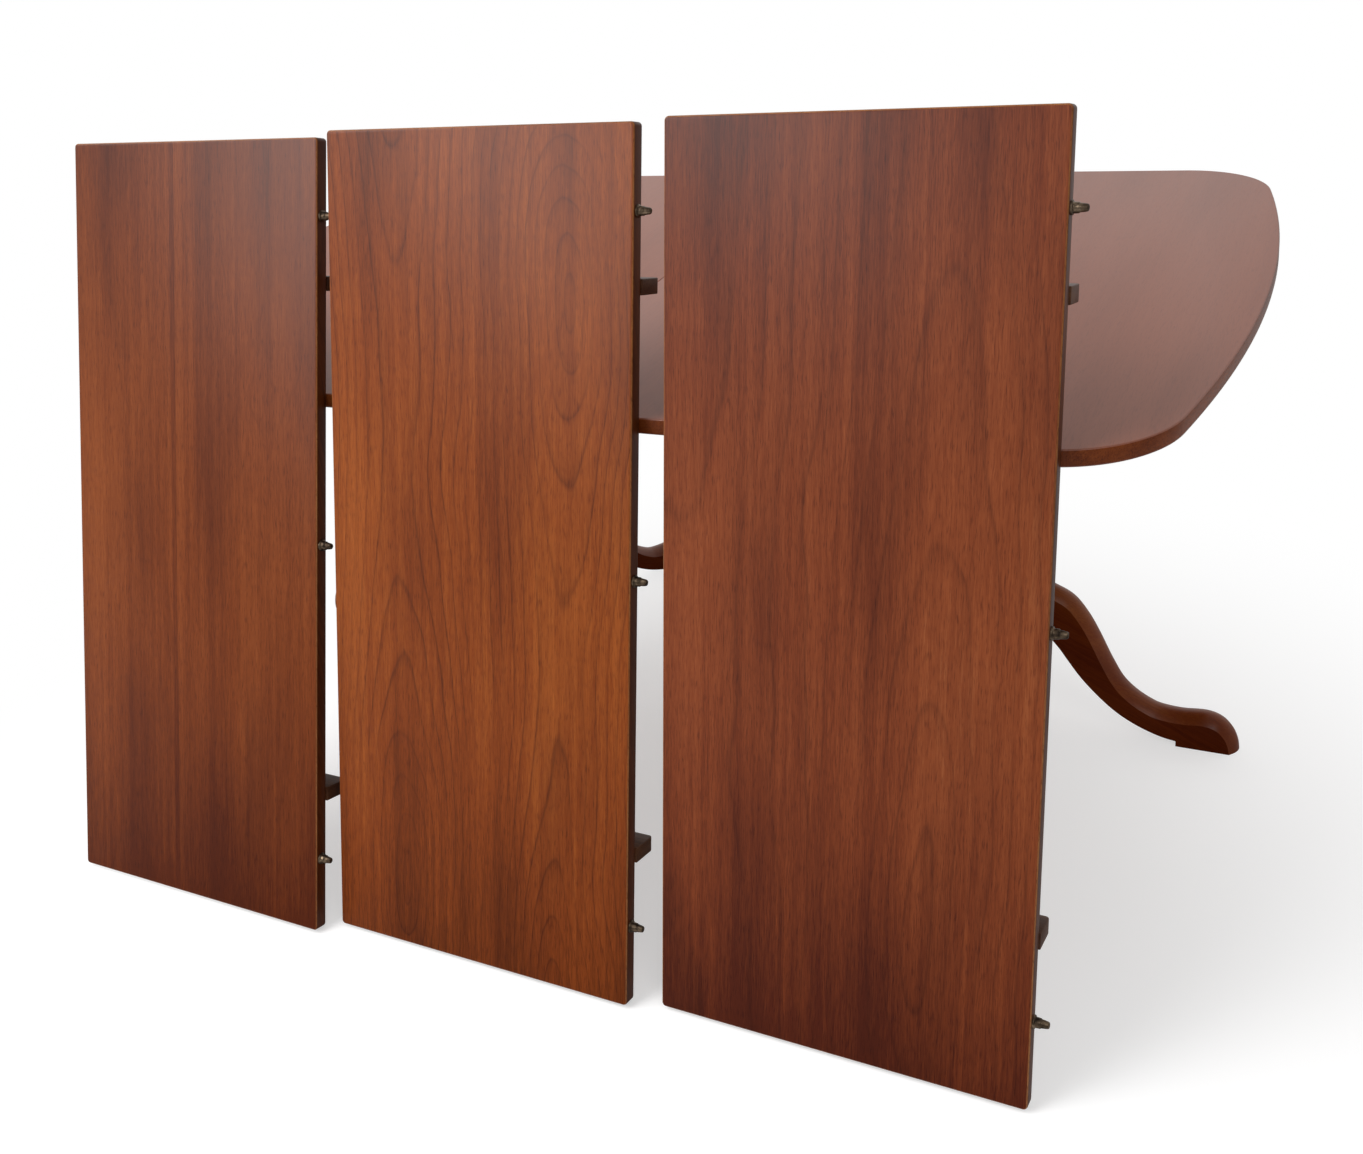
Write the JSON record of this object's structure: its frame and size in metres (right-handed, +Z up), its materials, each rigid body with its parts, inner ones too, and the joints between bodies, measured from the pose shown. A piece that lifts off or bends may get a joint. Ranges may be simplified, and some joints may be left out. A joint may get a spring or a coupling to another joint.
{
  "type": "double pedestal extension dining table",
  "caption": "Mahogany double pedestal dining table, closed, with curved tripod legs, geared extension slides and loose leaves leaning against its long edge",
  "frame": {"origin": "on the floor, under the middle of the box round the closed table and its leaning leaves", "axes": "+X along the table from the left half to the right half, +Y from the leaning leaves to the far edge of the top, +Z up"},
  "size_m": [1.712, 1.381, 1.0841],
  "materials": {
    "top_mahogany": "red-brown mahogany, satin lacquer",
    "leaf_mahogany": "red-brown mahogany, satin lacquer",
    "pedestal_mahogany": "dark red-brown mahogany, satin lacquer",
    "bearer_mahogany": "dark stained hardwood",
    "slide_maple": "waxed maple, unstained",
    "pin_brass": "turned brass, dulled with age",
    "plated_steel": "dull plated steel",
    "cast_iron": "black cast iron"
  },
  "bodies": {
    "left_half": {"left_top": "top_mahogany", "left_joint_pins": "pin_brass", "left_column": "pedestal_mahogany", "left_outer_leg": "pedestal_mahogany", "left_front_leg": "pedestal_mahogany", "left_rear_leg": "pedestal_mahogany", "left_cap_block": "pedestal_mahogany", "left_spider_plate": "cast_iron", "front_left_rail": "slide_maple", "rear_left_rail": "slide_maple", "left_rack": "cast_iron", "left_end_cleat": "slide_maple", "left_centre_cleat": "slide_maple", "lock_plates": "plated_steel"},
    "right_half": {"right_top": "top_mahogany", "right_column": "pedestal_mahogany", "right_outer_leg": "pedestal_mahogany", "right_front_leg": "pedestal_mahogany", "right_rear_leg": "pedestal_mahogany", "right_cap_block": "pedestal_mahogany", "right_spider_plate": "cast_iron", "front_right_rail": "slide_maple", "rear_right_rail": "slide_maple", "right_rack": "cast_iron", "right_end_cleat": "slide_maple", "right_centre_cleat": "slide_maple", "keeper_plates": "plated_steel", "keeper_posts": "plated_steel"},
    "middle_frame": {"front_middle_rail": "slide_maple", "rear_middle_rail": "slide_maple", "centre_crossbar": "slide_maple", "pinion_axle": "cast_iron"},
    "gear": {"pinion": "cast_iron"},
    "front_lock": {"front_lock_lever": "plated_steel"},
    "rear_lock": {"rear_lock_lever": "plated_steel"},
    "leaf_1": {"leaf_1_board": "leaf_mahogany", "leaf_1_pins": "pin_brass", "leaf_1_bearers": "bearer_mahogany"},
    "leaf_2": {"leaf_2_board": "leaf_mahogany", "leaf_2_pins": "pin_brass", "leaf_2_bearers": "bearer_mahogany"},
    "leaf_3": {"leaf_3_board": "leaf_mahogany", "leaf_3_pins": "pin_brass", "leaf_3_bearers": "bearer_mahogany"}
  },
  "joints": [
    {"name": "right_slide", "type": "slide", "parent": "left_half", "child": "right_half", "axis": [1, 0, 0], "range_m": [0, 1.371]},
    {"name": "middle_slide", "type": "slide", "parent": "left_half", "child": "middle_frame", "axis": [1, 0, 0], "range_m": [0, 0.6855]},
    {"name": "gear_spin", "type": "hinge", "parent": "middle_frame", "child": "gear", "pos_m": [0, -0.08703, 0.678], "axis": [0, 0, 1], "range_deg": [0, 1572]},
    {"name": "front_lock_turn", "type": "hinge", "parent": "left_half", "child": "front_lock", "pos_m": [-0.03915, -0.26853, 0.7015], "axis": [0, 0, 1], "range_deg": [0, 90]},
    {"name": "rear_lock_turn", "type": "hinge", "parent": "left_half", "child": "rear_lock", "pos_m": [-0.03915, 0.53147, 0.7015], "axis": [0, 0, 1], "range_deg": [-90, 0]},
    {"name": "leaf_1_tip", "type": "hinge", "parent": "left_half", "child": "leaf_1", "pos_m": [-0.5035, -0.67213, 0], "axis": [1, 0, 0], "range_deg": [0, 17.9]},
    {"name": "leaf_2_tip", "type": "hinge", "parent": "left_half", "child": "leaf_2", "pos_m": [-0.0215, -0.64419, 0], "axis": [1, 0, 0], "range_deg": [0, 15.9]},
    {"name": "leaf_3_tip", "type": "hinge", "parent": "left_half", "child": "leaf_3", "pos_m": [0.4775, -0.62634, 0], "axis": [1, 0, 0], "range_deg": [0, 14.6]}
  ],
  "couplings": [
    {"joint": "middle_slide", "follows": "right_slide", "ratio": 0.5},
    {"joint": "gear_spin", "follows": "right_slide", "rad_per_m": 20}
  ]
}
